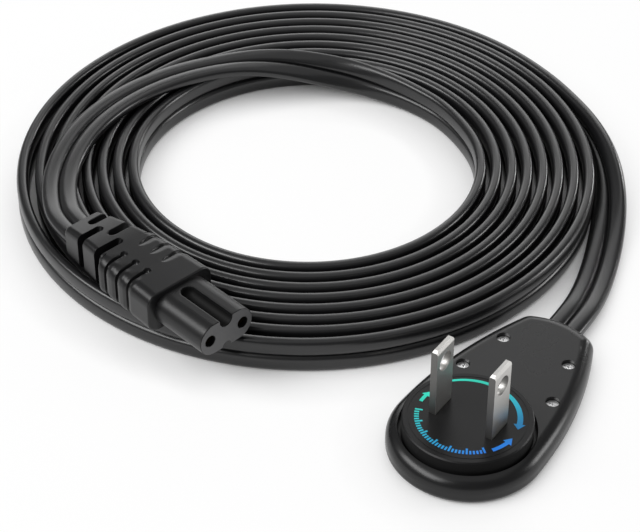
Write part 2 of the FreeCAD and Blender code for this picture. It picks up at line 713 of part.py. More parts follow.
def connector_contact(side):
    """Spring sleeve for one pin, with its solid tail."""
    end = -CONTACT_FROM_FACE - CONTACT_LENGTH
    sleeve = along(side, end, -CONTACT_FROM_FACE, CONTACT_RADIUS)
    tail = along(side, -NOSE_LENGTH - TANG_LENGTH, end, CONTACT_TAIL_RADIUS)
    bore_end = end + CONTACT_RADIUS - CONTACT_BORE_RADIUS
    return fuse_all([sleeve, tail]).cut(along(side, bore_end, -CONTACT_FROM_FACE, CONTACT_BORE_RADIUS))


def grip_groove(x, side):
    """Finger groove round one side of the grip, ending on its top and bottom."""
    share = (-NOSE_LENGTH - x) / GRIP_LENGTH
    width = GRIP_WIDTH + share * (GRIP_REAR_WIDTH - GRIP_WIDTH)
    half_g = GROOVE_WIDTH / 2
    ring = block(x - half_g, x + half_g, GROOVE_INNER, width, -GRIP_HEIGHT, GRIP_HEIGHT)
    inner = Part.Face(rounded_section(
        x - half_g, width - 2 * GROOVE_DEPTH, GRIP_HEIGHT - 2 * GROOVE_DEPTH, GRIP_CORNER - GROOVE_DEPTH, 0
    )).extrude(Vector(GROOVE_WIDTH, 0, 0))
    dimple = rod(x, GROOVE_INNER, -GRIP_HEIGHT, GRIP_HEIGHT, half_g)
    groove = fuse_all([ring, dimple]).cut(inner)
    if side < 0:
        groove.rotate(Vector(0, 0, 0), Vector(1, 0, 0), 180)
    return groove


def relief_slot(index, step):
    """Cross slot in the strain relief, from alternate sides, round the lead's own core."""
    side = 1 if index % 2 else -1
    x = -NOSE_LENGTH - GRIP_LENGTH - step * (index + 0.5)
    half_s = RELIEF_SLOT_WIDTH / 2
    reach = RELIEF_FRONT_WIDTH
    slot = block(x - half_s, x + half_s, RELIEF_SLOT_INNER, reach, -GRIP_HEIGHT, GRIP_HEIGHT)
    slot = slot.fuse(rod(x, RELIEF_SLOT_INNER, -GRIP_HEIGHT, GRIP_HEIGHT, half_s)).removeSplitter()
    if side < 0:
        slot.rotate(Vector(0, 0, 0), Vector(1, 0, 0), 180)
    half_w = LEAD_WIDTH / 2 - RELIEF_CORE
    half_t = LEAD_THICKNESS / 2 + RELIEF_CORE
    drop = FEED_DROP * (index + 0.5) / RELIEF_SLOTS
    return slot.cut(block(x - RELIEF_SLOT_WIDTH, x + RELIEF_SLOT_WIDTH, -half_w, half_w, -drop - half_t, half_t - drop))


def connector_overmould():
    """Moulded grip with its strain relief, cut for the insert's tang, finger grooves and slots."""
    front = -NOSE_LENGTH
    rear = front - GRIP_LENGTH
    end = rear - RELIEF_LENGTH
    grip = Part.makeLoft([
        rounded_section(front, GRIP_WIDTH, GRIP_HEIGHT, GRIP_CORNER, 0),
        rounded_section(rear, GRIP_REAR_WIDTH, GRIP_HEIGHT, GRIP_CORNER, 0),
    ], True, True)
    relief = Part.makeLoft([
        rounded_section(rear, RELIEF_FRONT_WIDTH, RELIEF_FRONT_HEIGHT, RELIEF_CORNER, 0),
        rounded_section(end, RELIEF_REAR_WIDTH, RELIEF_REAR_HEIGHT, RELIEF_CORNER, FEED_DROP),
    ], True, True)
    body = fuse_all([grip, relief])
    cuts = [stadium(front - TANG_LENGTH, front, NOSE_WIDTH - 2 * TANG_INSET, NOSE_HEIGHT - 2 * TANG_INSET)]
    for index in range(GROOVE_COUNT):
        x = front - GROOVE_FIRST - index * GROOVE_SPACING
        cuts += [grip_groove(x, side) for side in (-1, 1)]
    step = RELIEF_LENGTH / (RELIEF_SLOTS + 0.5)
    cuts += [relief_slot(index, step) for index in range(RELIEF_SLOTS)]
    return body.cut(cuts)


def connector_point(distance):
    """Plan point on the connector's axis, a distance in front of its rear end."""
    angle = math.radians(CONNECTOR_ANGLE)
    return (CONNECTOR_REAR[0] + distance * math.cos(angle), CONNECTOR_REAR[1] + distance * math.sin(angle))


def on_coil(shape):
    """Connector piece moved from its own axis to its place on the coil."""
    face = connector_point(CONNECTOR_LENGTH)
    shape.Placement = FreeCAD.Placement(
        Vector(face[0], face[1], CONNECTOR_HEIGHT), FreeCAD.Rotation(Vector(0, 0, 1), CONNECTOR_ANGLE)
    )
    return shape


def lead_points():
    """Middle of the lead's section along its route."""
    return [(x, y, under + LEAD_THICKNESS / 2) for x, y, under in LEAD_ROUTE]


def tail_points():
    """Middle of the tail's section along its route, from just inside the connector."""
    start = connector_point(TAIL_START_INSIDE)
    level = COIL_HEIGHT + LEAD_THICKNESS / 2
    return [(start[0], start[1], TAIL_START_HEIGHT)] + [(x, y, level + gap) for x, y, gap in TAIL_ROUTE]


def main():
    os.makedirs("parts", exist_ok=True)
    coil = lead_coil()
    overmould = on_coil(connector_overmould())
    nodes = {
        "front_cover": front_cover(),
        "back_cover": back_cover(),
        "cover_screws": Part.makeCompound([cover_screw(x, y) for x, y in SCREW_PLACES]),
        "lead_clamp": lead_clamp(),
        "clamp_screws": Part.makeCompound([clamp_screw(x, y) for x, y in CLAMP_PLACES]),
        "outer_contact_spring": contact_spring(1, ring_reach(OUTER_RING_RADIUS)),
        "inner_contact_spring": contact_spring(-1, ring_reach(INNER_RING_RADIUS)),
        "live_core": core(1, JACKET_END_Y, CORE_END_Y, CORE_RADIUS),
        "neutral_core": core(-1, JACKET_END_Y, CORE_END_Y, CORE_RADIUS),
        "live_strands": strands(1),
        "neutral_strands": strands(-1),
        "cord_lead": lead_length("cord_lead", lead_points()).cut(coil),
        "cord_coil": coil,
        "cord_tail": lead_length("cord_tail", tail_points()).cut(overmould),
        "connector_insert": on_coil(connector_insert()),
        "connector_overmould": overmould,
        "connector_contact_left": on_coil(connector_contact(1)),
        "connector_contact_right": on_coil(connector_contact(-1)),
        "rotor_disc": rotor_disc(),
        "blade_left": blade(-1, OUTER_RING_RADIUS),
        "blade_right": blade(1, INNER_RING_RADIUS),
        "outer_slip_ring": slip_ring(OUTER_RING_RADIUS),
        "inner_slip_ring": slip_ring(INNER_RING_RADIUS),
        "ring_carrier": ring_carrier(),
        "carrier_screws": Part.makeCompound([carrier_screw(s * CARRIER_SCREW_Y) for s in (-1, 1)]),
    }
    for name, shape in nodes.items():
        print(name, "solids", len(shape.Solids), "valid", shape.isValid(), "volume", round(shape.Volume, 1))
        shape.exportStep(os.path.join("parts", name + ".step"))


main()
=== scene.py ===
"""Looks of a flat plug with a turning blade disc, its coiled flat lead and a two-hole connector."""

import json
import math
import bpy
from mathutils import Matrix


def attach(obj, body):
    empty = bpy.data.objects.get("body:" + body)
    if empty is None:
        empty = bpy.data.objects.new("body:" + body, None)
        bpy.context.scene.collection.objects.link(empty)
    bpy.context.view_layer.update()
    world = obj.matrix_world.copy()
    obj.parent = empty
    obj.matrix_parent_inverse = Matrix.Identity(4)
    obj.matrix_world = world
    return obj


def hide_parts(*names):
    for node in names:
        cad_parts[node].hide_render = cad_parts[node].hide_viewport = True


bl_info = {
    "name": "Flat Turning Plug",
    "version": (1, 0, 0),
    "blender": (4, 5, 0),
    "location": "3D View > Sidebar > Flat Plug",
    "description": "Dresses the packed plug, winds its flat lead and sets a plain studio",
    "category": "Object",
}

import bmesh
import bpy
from bpy.props import FloatProperty, FloatVectorProperty, IntProperty, PointerProperty
from mathutils import Matrix, Vector

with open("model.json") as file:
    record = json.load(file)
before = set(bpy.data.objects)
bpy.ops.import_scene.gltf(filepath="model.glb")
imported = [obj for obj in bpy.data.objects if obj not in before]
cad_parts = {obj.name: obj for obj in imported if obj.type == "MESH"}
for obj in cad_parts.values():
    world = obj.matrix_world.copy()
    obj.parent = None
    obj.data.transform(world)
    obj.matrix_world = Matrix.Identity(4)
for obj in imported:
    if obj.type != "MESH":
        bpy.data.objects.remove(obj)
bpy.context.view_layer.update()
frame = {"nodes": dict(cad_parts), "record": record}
NODES = frame["nodes"]
MM = 0.001
HOUSING = "housing"
ROTOR = "rotor"

# Camera of the photograph: picture and sensor width, place in millimetres and direction of sight
IMAGE_WIDTH = 640
SENSOR = 36.0
CAMERA_PLACE = (140.12, -259.21, 278.88)
CAMERA_SIGHT = (-0.4375, 0.6487, -0.6227)

# Points that the lamps aim at, and the level direction to the photograph's right
COIL_MIDDLE = (-0.06, 0.05, 0.0)
PLUG_MIDDLE = (0.0, 0.0, 0.0)
TOP_MIDDLE = (-0.03, 0.03, 0.0)
LEVEL = (0.829, 0.559, 0.0)

# Lamps: name, place, target, direction of the first side, two sides in metres and power in watts
LAMPS = [
    ("back_light", (-0.561, 0.918, 0.37), COIL_MIDDLE, (0.829, 0.559, 0.14), (0.97, 0.5), 3.0),
    ("edge_light", (0.21, 1.44, 0.22), COIL_MIDDLE, LEVEL, (0.16, 0.26), 2.2),
    ("right_light", (0.78, 0.76, 0.24), PLUG_MIDDLE, (0.7, -0.71, 0.0), (0.35, 0.4), 3.0),
    ("left_light", (-0.478, -0.569, 0.669), PLUG_MIDDLE, (0.766, -0.643, 0.0), (1.05, 0.42), 9.0),
    ("top_light", (-0.03, 0.03, 1.1), TOP_MIDDLE, LEVEL, (1.5, 1.2), 2.4),
    ("plug_light", (-0.208, 0.384, 0.412), PLUG_MIDDLE, LEVEL, (0.2, 0.2), 0.13),
]

# Floor: half its side, its place and tones, the reach of its painted contact shadow, the tilt that sends
# that painted shadow to one side, its whiteness
FLOOR_HALF = 3.0
FLOOR_PLACE = (-0.05, 0.03, -0.00002)
FLOOR_TONES = ((0.93, 0.93, 0.93), (0.95, 0.95, 0.95))
PAINTED_SHADOW_REACH = 0.011
PAINTED_SHADOW_TILT = {"X": 0.2, "Y": 0.54, "Z": 0.82}
FLOOR_WHITE = 0.9

# Moulded finishes: roughness, shine, scale and height of the grain, and more roughness on upright sides,
# where it also turns on a painted shade
MOULDED_LOOKS = {
    "housing_satin": (0.28, 0.38, 2400.0, 0.0000012, 0.0),
    "disc_satin": (0.33, 0.24, 2400.0, 0.000008, 0.5),
    "grip_satin": (0.31, 0.33, 2000.0, 0.000008, 0.0),
    "nose_satin": (0.35, 0.36, 2400.0, 0.000006, 0.0),
    "nose_face_painted_light": (0.5, 0.5, 3000.0, 0.00001, 0.0),
    "key_groove_painted_shade": (0.6, 0.15, 3000.0, 0.00001, 0.0),
    "core_sheath": (0.4, 0.4, 2600.0, 0.00001, 0.0),
    "carrier_grey": (0.5, 0.4, 2600.0, 0.00002, 0.0),
}

# Colours of the connector's face and groove and of the pieces inside: the face's lighter grey is a painted
# light, the groove's near-black and the sleeves' dark brass are painted shade
NOSE_FACE_PAINTED_LIGHT = (0.075, 0.075, 0.077)
KEY_GROOVE_PAINTED_SHADE = (0.003, 0.003, 0.003)
CONTACT_BRASS = (0.78, 0.58, 0.27)
SLEEVE_BRASS_PAINTED_SHADE = (0.16, 0.12, 0.06)
STRAND_COPPER = (0.8, 0.4, 0.24)
CORE_BLACK = (0.02, 0.02, 0.022)
CARRIER_GREY = (0.2, 0.2, 0.21)

# Rounded edges of the blades: width, least angle in degrees of an edge that is rounded, and the weld
BLADE_EDGE = 0.12 * MM
ROUND_FROM = 35
WELD_WITHIN = 0.000001

# Colour run of the printed ink: its slope across the disc and its share of blue on the disc's axis
INK_SLOPE = (42.0, -28.0, 0.0)
INK_MIDDLE = 0.42

# Printed arrows: two ends in degrees, radii past the ring, widths, and the head's degrees and width
ARROWS = [
    (187, 167.5, (0.0, 0.0), (0.75, 0.75), (8.0, 1.9)),
    (139.5, 13, (0.8, 0.0), (0.55, 1.15), (8.5, 2.3)),
    (-32, -2.5, (0.1, 0.1), (0.85, 0.85), (9.5, 2.1)),
]
ARROW_STEPS = 32

# Dial ticks: first one and sweep in degrees, long ones, and sizes about the ring
TICK_FIRST = -41
TICK_SWEEP = 118
LONG_TICK_EVERY = 5
TICK_SHORTER = 0.6 * MM
TICK_INWARD = 1.15 * MM
TICK_OUTWARD = 0.4 * MM
TICK_WIDTH = 0.4 * MM
INK_SUNK = 0.005 * MM

# Points round a moulded section: each corner, the top or bottom, each side
BEND = 10
FLAT = 60
WALL = 16

# Connector's nose: its edge, the flat between its round ends, the groove's rim and the notch below
NOSE_EDGE = 0.14 * MM
NOSE_FLAT = 0.02 * MM
KEY_RIM = 0.2 * MM
KEY_RIM_DROP = 0.12 * MM
# Depth below the nose's top from which the groove's inside takes its painted shade
KEY_SHADE_FROM = 0.3 * MM
NOTCH_RADIUS = 1.2 * MM
NOTCH_SHARE = 0.9
FACE_SLOT = 1
KEY_SLOT = 2

# Mouth of a pin hole: distance back in millimetres and share of the hole's radius
PIN_MOUTH = [(0.0, 1.05), (0.06, 1.0), (1.15, 1.0)]
PIN_POINTS = 48

# Connector's grip and relief: rounded edges, corners, and the relief's height and drop in millimetres
FRONT_EDGE = 0.4 * MM
REAR_EDGE = 0.7 * MM
GRIP_CORNER = 2.6 * MM
RELIEF_CORNER = 1.5 * MM
RELIEF_HALF_HEIGHT = 4.62
RELIEF_THINNING = 0.92
RELIEF_RISE = 0.08
RELIEF_DROP = 0.78
CORE_HALF_WIDTH = 3.7 * MM
CORE_HALF_HEIGHT = 1.9 * MM
CORE_CORNER = 1.2 * MM
CORE_DROP = 1.5 * MM

# Sections of the grip and relief: where runs of them start and stop, and their steps
SLIVER = 0.01 * MM
GRIP_FIRST = 0.5 * MM
SHORT_OF_END = 0.75 * MM
EDGE_STEP = 0.05 * MM
GRIP_STEP = 0.1 * MM
REAR_STEP = 0.07 * MM
RELIEF_STEP = 0.14 * MM

# Finger grooves, in millimetres
GROOVES = 3
GROOVE_INNER = 2.5 * MM
GROOVE_HALF = (0.22, 0.5)
GROOVE_DEPTH = 0.85
DIMPLE_RADIUS = 0.8
DIMPLE_DEPTH = 0.95
FLARE_START = (3.5, 6.5)
FLARE_HALF = (0.2, 1.5)
FLARE_DEPTH = 0.2

# Finger scoops, in millimetres, with the power of their curve and the share that is the rear wall
SCOOP_OUTER = 5.2
SCOOP_REACH = 3.5
SCOOP_THINNEST = 0.02
SCOOP_FRONT = 1.15
SCOOP_LENGTH = 2.2
SCOOP_DEPTH = 0.48
SCOOP_CURVE = 1.5
SCOOP_WALL = 0.06

# Flexing slots of the relief: how many, how many steps long it is, their inner ends and half width
SLOTS = 4
SLOT_STEPS = 4.5
SLOT_INNER = 0.55 * MM
SLOT_HALF = (0.8, 1.02)

# Section of one lobe of the lead: angles of its points, squareness and share of its width
LOBE_ANGLES = (0, 12, 25, 39, 53, 67, 82, 98, 113, 127, 140, 151)
LOBE_SQUARENESS = 2.75
LOBE_SHARE = 0.97

# Points on the smooth line of the lead between two control points
LINE_STEPS = 6

# Coil of lead, about its own centre, angles clockwise from the photograph's right
COIL_CENTRE = (-74.6, 55.5)
COIL_RIGHT = 34.0
COIL_STEP = 15
COIL_JOIN = 45

# Slack of the outermost turn: most in millimetres, where it is and where it ends in degrees
SLACK_MOST = 0.7
SLACK_MIDDLE = 215
SLACK_END = 305

# Route of the lead from the plug to the coil, in millimetres
LEAD_ROUTE = [
    (0.0, 36.0, 2.5),
    (0.0, 44.5, 2.5),
    (-1.4, 53.4, 1.6),
    (-3.8, 62.2, 1.35),
    (-6.6, 70.4, 1.6),
    (-9.8, 78.2, 2.3),
    (-13.7, 86.0, 3.2),
    (-18.6, 93.6, 3.9),
]

# The lead as it joins the outermost turn: angle, radius and height
LEAD_JOIN = [(-9, 67.5, 4.0), (-18, 67.2, 4.0), (-30, 66.8, 4.0)]

# The lead as it rises from the innermost turn: angle, radius and height
TAIL_RISE = [
    (-15, 38.6, 4.0),
    (-35, 38.4, 4.0),
    (-50, 38.0, 4.15),
    (-62, 37.8, 4.7),
    (-75, 37.6, 5.8),
    (-87, 37.4, 7.0),
    (-98, 38.0, 8.25),
    (-110, 39.3, 9.2),
]

# Route of the tail over the coil's top to the connector, in millimetres
TAIL_ROUTE = [
    (-112.4, 72.5, 9.35),
    (-118.1, 63.9, 9.35),
    (-121.7, 54.2, 9.35),
    (-123.2, 44.0, 9.35),
    (-122.5, 33.7, 9.35),
    (-119.6, 23.9, 9.35),
    (-115.1, 15.1, 9.35),
    (-109.0, 7.8, 9.7),
    (-102.5, 2.4, 10.7),
    (-95.0, -0.2, 11.2),
]


class LeadSettings(bpy.types.PropertyGroup):
    """Sizes of the flat twin lead and its coil."""

    width: FloatProperty(name="Width", description="Across both lobes", default=8.0 * MM, unit="LENGTH")
    thickness: FloatProperty(name="Thickness", description="Through one lobe", default=2.6 * MM,
                             unit="LENGTH")
    groove: FloatProperty(name="Groove", description="Half thickness left between the lobes",
                          default=0.35 * MM, unit="LENGTH")
    turns: IntProperty(name="Turns", description="Windings of the coil", default=8, min=1)
    first_radius: FloatProperty(name="First radius", description="Middle of the innermost turn",
                                default=38.7 * MM, unit="LENGTH")
    pitch: FloatProperty(name="Pitch", description="Step from turn to turn", default=3.5 * MM,
                         unit="LENGTH")
    lead_flat: FloatProperty(name="Lead flat", description="Flat length from the plug", default=28 * MM,
                             unit="LENGTH")
    lead_twist: FloatProperty(name="Lead twist", description="Length from flat to edge", default=64 * MM,
                              unit="LENGTH")
    tail_flat: FloatProperty(name="Tail flat", description="Flat length from the connector",
                             default=82 * MM, unit="LENGTH")
    tail_twist: FloatProperty(name="Tail twist", description="Length from flat to edge", default=58 * MM,
                              unit="LENGTH")


class ConnectorSettings(bpy.types.PropertyGroup):
    """Sizes of the two-hole connector."""

    nose_length: FloatProperty(name="Nose length", description="Face to grip", default=14.2 * MM,
                               unit="LENGTH")
    nose_width: FloatProperty(name="Nose width", description="Across both holes", default=13.8 * MM,
                              unit="LENGTH")
    nose_height: FloatProperty(name="Nose height", description="Through one lobe", default=7.4 * MM,
                               unit="LENGTH")
    pin_radius: FloatProperty(name="Pin hole radius", description="Each of the two", default=1.3 * MM,
                              unit="LENGTH")
    key_radius: FloatProperty(name="Key radius", description="Half the key groove's width",
                              default=1.65 * MM, unit="LENGTH")
    key_depth: FloatProperty(name="Key depth", description="Below the nose's top", default=2.05 * MM,
                             unit="LENGTH")
    key_length: FloatProperty(name="Key length", description="Back from the face", default=13.0 * MM,
                              unit="LENGTH")
    grip_length: FloatProperty(name="Grip length", description="Nose to relief", default=17.4 * MM,
                               unit="LENGTH")
    grip_width: FloatProperty(name="Grip width", description="At the nose", default=17.0 * MM,
                              unit="LENGTH")
    grip_rear: FloatProperty(name="Grip rear width", description="At the relief", default=15.4 * MM,
                             unit="LENGTH")
    grip_height: FloatProperty(name="Grip height", description="Through the grip", default=9.4 * MM,
                               unit="LENGTH")
    relief_length: FloatProperty(name="Relief length", description="Grip to lead", default=14.8 * MM,
                                 unit="LENGTH")
    relief_width: FloatProperty(name="Relief width", description="At the grip", default=13.2 * MM,
                                unit="LENGTH")
    relief_rear: FloatProperty(name="Relief rear width", description="At the lead", default=9.6 * MM,
                               unit="LENGTH")
    groove_first: FloatProperty(name="First groove", description="Back from the grip's front",
                                default=7.3 * MM, unit="LENGTH")
    groove_spacing: FloatProperty(name="Groove spacing", description="Groove to groove",
                                  default=3.75 * MM, unit="LENGTH")


class FinishSettings(bpy.types.PropertyGroup):
    """Colours of the visible finishes."""

    housing: FloatVectorProperty(name="Housing", description="Moulded housing", subtype="COLOR", size=3,
                                 default=(0.0055, 0.0055, 0.0058), min=0, max=1)
    sheath: FloatVectorProperty(name="Sheath", description="Lead sheath", subtype="COLOR", size=3,
                                default=(0.0055, 0.0055, 0.006), min=0, max=1)
    nickel: FloatVectorProperty(name="Nickel", description="Blades", subtype="COLOR", size=3,
                                default=(0.62, 0.61, 0.59), min=0, max=1)
    zinc: FloatVectorProperty(name="Zinc", description="Cover screws", subtype="COLOR", size=3,
                              default=(0.86, 0.86, 0.86), min=0, max=1)
    teal: FloatVectorProperty(name="Teal ink", description="Start of the printed ring", subtype="COLOR",
                              size=3, default=(0.026, 0.68, 0.51), min=0, max=1)
    blue: FloatVectorProperty(name="Blue ink", description="End of the printed ring", subtype="COLOR",
                              size=3, default=(0.018, 0.17, 0.76), min=0, max=1)


class DiscSettings(bpy.types.PropertyGroup):
    """Printed ring on the turning disc."""

    top: FloatProperty(name="Disc top", description="Height of the printed face", default=8.0 * MM,
                       unit="LENGTH")
    ink: FloatProperty(name="Ink", description="Thickness of the print", default=0.03 * MM,
                       unit="LENGTH")
    ring: FloatProperty(name="Ring", description="Middle of the printed ring", default=10.1 * MM,
                        unit="LENGTH")
    ticks: IntProperty(name="Dial ticks", description="Marks along the front", default=31, min=2)


class StageSettings(bpy.types.PropertyGroup):
    """Camera and light of the plain studio."""

    focal: FloatProperty(name="Focal length", description="In pixels of a picture 640 wide",
                         default=2048.18, min=100)
    fill: FloatProperty(name="Fill", description="Strength of the even light", default=0.2, min=0)


class Wire:
    """A node socket whose arithmetic adds Math nodes to its tree."""

    def __init__(self, tree, socket):
        self.tree = tree
        self.socket = socket

    def math(self, operation, first, second):
        node = self.tree.nodes.new("ShaderNodeMath")
        node.operation = operation
        for slot, value in zip(node.inputs, (first, second)):
            plug_in(self.tree, slot, value)
        return Wire(self.tree, node.outputs[0])

    def __add__(self, other):
        return self.math("ADD", self, other)

    def __radd__(self, other):
        return self.math("ADD", other, self)

    def __sub__(self, other):
        return self.math("SUBTRACT", self, other)

    def __rsub__(self, other):
        return self.math("SUBTRACT", other, self)

    def __mul__(self, other):
        return self.math("MULTIPLY", self, other)

    def __rmul__(self, other):
        return self.math("MULTIPLY", other, self)


def plug_in(tree, slot, value):
    """Link a wire to a socket, or set the socket's own value."""
    if isinstance(value, Wire):
        tree.links.new(value.socket, slot)
    else:
        slot.default_value = value


class Finish:
    """A material under construction."""

    def __init__(self, name):
        self.material = bpy.data.materials.new(name)
        self.material.use_nodes = True
        self.tree = self.material.node_tree
        self.tree.nodes.clear()

    def node(self, kind, settings=None, inputs=None, output=0):
        """Any node: its settings first, then its sockets; gives one output."""
        made = self.tree.nodes.new(kind)
        for key, value in (settings or {}).items():
            setattr(made, key, value)
        for key, value in (inputs or {}).items():
            plug_in(self.tree, made.inputs[key], value)
        return Wire(self.tree, made.outputs[output])

    def place(self):
        """Position on the piece, in metres."""
        return self.node("ShaderNodeTexCoord", output="Object")

    def noise(self, scale, detail=2.0, roughness=0.5, where=None):
        """Soft noise between 0 and 1."""
        where = where or self.place()
        inputs = {"Vector": where, "Scale": scale, "Detail": detail, "Roughness": roughness}
        return self.node("ShaderNodeTexNoise", inputs=inputs, output="Fac")

    def stretched(self, scale, where=None):
        """Position with each axis scaled."""
        settings = {"operation": "MULTIPLY"}
        inputs = {0: where or self.place(), 1: scale}
        return self.node("ShaderNodeVectorMath", settings, inputs)

    def reach(self, where, direction):
        """How far a position or a normal reaches along a direction."""
        settings = {"operation": "DOT_PRODUCT"}
        return self.node("ShaderNodeVectorMath", settings, {0: where, 1: direction}, output="Value")

    def facing(self, direction):
        """How far the surface faces along one of the piece's own directions."""
        return self.reach(self.node("ShaderNodeTexCoord", output="Normal"), direction)

    def blend(self, share, first, second):
        """Colour between two colours."""
        settings = {"data_type": "RGBA"}
        inputs = {0: share, 6: opaque(first), 7: opaque(second)}
        return self.node("ShaderNodeMix", settings, inputs, output=2)

    def bump(self, height, distance):
        """Normal tilted by a height."""
        inputs = {"Height": height, "Distance": distance, "Strength": 1.0}
        return self.node("ShaderNodeBump", inputs=inputs)

    def surface(self, **sockets):
        """Principled surface on the output; socket names with underscores for spaces."""
        inputs = {key.replace("_", " "): value for key, value in sockets.items()}
        shader = self.node("ShaderNodeBsdfPrincipled", inputs=inputs)
        return self.show(shader)

    def show(self, shader):
        """Put a shader on the material's output."""
        out = self.tree.nodes.new("ShaderNodeOutputMaterial")
        self.tree.links.new(shader.socket, out.inputs["Surface"])
        return self.material


def opaque(colour):
    """Colour with full alpha, wires left alone."""
    if isinstance(colour, Wire):
        return colour
    return (*colour[:3], 1.0)


def shaded(colour, share):
    """Colour made lighter or darker."""
    return tuple(c * share for c in colour)


def moulded_plastic(name, colour):
    """Moulded plastic with a fine grain, faint handling marks and, on some, matter upright sides that also
    carry a painted shade.
    """
    roughness, shine, grain, grain_height, upright_matt_and_shade = MOULDED_LOOKS[name]
    finish = Finish(name)
    fine = finish.noise(grain, detail=3.0, roughness=0.6)
    marks = finish.noise(scale=90.0, detail=4.0)
    tone = finish.blend(marks, colour, shaded(colour, 1.5))
    rough = roughness - 0.04 + marks * 0.08
    if upright_matt_and_shade:
        up = finish.facing((0.0, 0.0, 1.0))
        side = 1.0 - up * up
        side = side * side * side
        # Painted shade: upright sides get a darker colour as well as more roughness
        tone = finish.blend(side, tone, shaded(colour, 0.4))
        rough = rough + side * upright_matt_and_shade
    return finish.surface(
        Base_Color=tone,
        Roughness=rough,
        Specular_IOR_Level=shine,
        Normal=finish.bump(fine, grain_height),
    )


def sheath_plastic(name, colour):
    """Extruded lead sheath with faint lines along its length."""
    finish = Finish(name)
    along = finish.node("ShaderNodeUVMap", {"uv_map": "lead"})
    lines = finish.noise(scale=1.0, detail=3.0, where=finish.stretched((9.0, 60.0, 1.0), along))
    grain = finish.noise(scale=2600.0)
    return finish.surface(
        Base_Color=finish.blend(lines, colour, shaded(colour, 1.5)),
        Roughness=0.26 + lines * 0.05,
        Specular_IOR_Level=0.6,
        Normal=finish.bump(grain * 0.5 + lines, distance=0.000004),
    )


def brushed_nickel(name, colour):
    """Plated blade metal, brushed along its length, with faint wear, and rougher narrow faces whose darker
    colour is a painted shade.
    """
    finish = Finish(name)
    facing = finish.facing((0.0, 1.0, 0.0))
    # Painted shade: the faces that point along the blade's Y axis get a much darker colour, and more
    # roughness
    edge = facing * facing * facing * facing
    streaks = finish.noise(scale=1.0, detail=4.0, where=finish.stretched((5000.0, 5000.0, 120.0)))
    wear = finish.noise(scale=260.0, detail=5.0)
    plated = finish.blend(wear, colour, shaded(colour, 0.85))
    return finish.surface(
        Base_Color=finish.blend(edge, plated, shaded(colour, 0.28)),
        Metallic=1.0,
        Roughness=0.37 + streaks * 0.1 + edge * 0.1,
        Normal=finish.bump(streaks, distance=0.000001),
    )


def plain_metal(name, colour, roughness):
    """Turned or stamped metal with a fine tool finish."""
    finish = Finish(name)
    tool = finish.noise(scale=1800.0, detail=3.0)
    return finish.surface(
        Base_Color=finish.blend(tool, colour, shaded(colour, 0.75)),
        Metallic=1.0,
        Roughness=roughness + tool * 0.15,
        Normal=finish.bump(tool, distance=0.000008),
    )


def printed_ink(name, teal, blue):
    """Pad-printed ink that runs from teal to blue across the disc."""
    finish = Finish(name)
    share = finish.reach(finish.place(), INK_SLOPE) + INK_MIDDLE
    share = share.math("MAXIMUM", share, 0.0)
    share = share.math("MINIMUM", share, 1.0)
    speckle = finish.noise(scale=4000.0)
    return finish.surface(
        Base_Color=finish.blend(share, teal, blue),
        Roughness=0.45 + speckle * 0.2,
        Specular_IOR_Level=0.3,
        Normal=finish.bump(speckle, distance=0.000005),
    )


def smoothstep(low, high, value):
    """0 below low, 1 above high, eased between."""
    share = min(1.0, max(0.0, (value - low) / (high - low)))
    return share * share * (3.0 - 2.0 * share)


def mesh_object(name, bm, material, body, sharp=50):
    """Finished bmesh as an object on a body, its edges sharp from an angle in degrees."""
    mesh = bpy.data.meshes.new(name)
    bm.to_mesh(mesh)
    bm.free()
    mesh.shade_smooth()
    mesh.set_sharp_from_angle(angle=math.radians(sharp))
    mesh.materials.append(material)
    made = bpy.data.objects.new(name, mesh)
    bpy.context.scene.collection.objects.link(made)
    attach(made, body)
    return made


def dress(material, *names):
    """Give CAD nodes a material."""
    for name in names:
        mesh = NODES[name].data
        mesh.materials.clear()
        mesh.materials.append(material)


def soften(width, *names):
    """Round the sharp edges of CAD nodes a little."""
    for name in names:
        node = NODES[name]
        weld = node.modifiers.new("weld", "WELD")
        weld.merge_threshold = WELD_WITHIN
        bevel = node.modifiers.new("edges", "BEVEL")
        bevel.width = width
        bevel.segments = 2
        bevel.limit_method = "ANGLE"
        bevel.angle_limit = math.radians(ROUND_FROM)
        bevel.harden_normals = True


def rounded_outline(half_w, half_h, corner):
    """Rounded rectangle with the same number of points at any size, from the right side over the top."""
    points = []
    corners = ((1, 1), (-1, 1), (-1, -1), (1, -1))
    for quarter, (right, up) in enumerate(corners):
        for i in range(BEND + 1):
            turn = (quarter + i / BEND) * math.pi / 2
            across = right * (half_w - corner) + corner * math.cos(turn)
            height = up * (half_h - corner) + corner * math.sin(turn)
            points.append((across, height))
        right, up = corners[(quarter + 1) % 4]
        turn = (quarter + 1) * math.pi / 2
        goal_across = right * (half_w - corner) + corner * math.cos(turn)
        goal_height = up * (half_h - corner) + corner * math.sin(turn)
        across, height = points[-1]
        runs = WALL if quarter % 2 else FLAT
        for i in range(1, runs):
            share = i / runs
            between = (across + share * (goal_across - across), height + share * (goal_height - height))
            points.append(between)
    return points


def edge_inset(distance, radius):
    """How far a rounded edge draws a section in, this far from its end."""
    if distance >= radius:
        return 0.0
    return radius - math.sqrt(radius ** 2 - (radius - max(0.0, distance)) ** 2)


def capsule_distance(back, across, start):
    """Distance in plan from a line across the connector that runs outward from start."""
    beyond = max(0.0, (start - across) * math.copysign(1.0, start))
    return math.hypot(back, beyond)


def sockets():
    """Middles of the connector's left and right sockets, and the left one's mount."""
    mounts = {m["name"]: m for m in frame["record"]["mounts"]}
    left = mounts["socket_left"]
    return Vector(left["pos_m"]), Vector(mounts["socket_right"]["pos_m"]), left


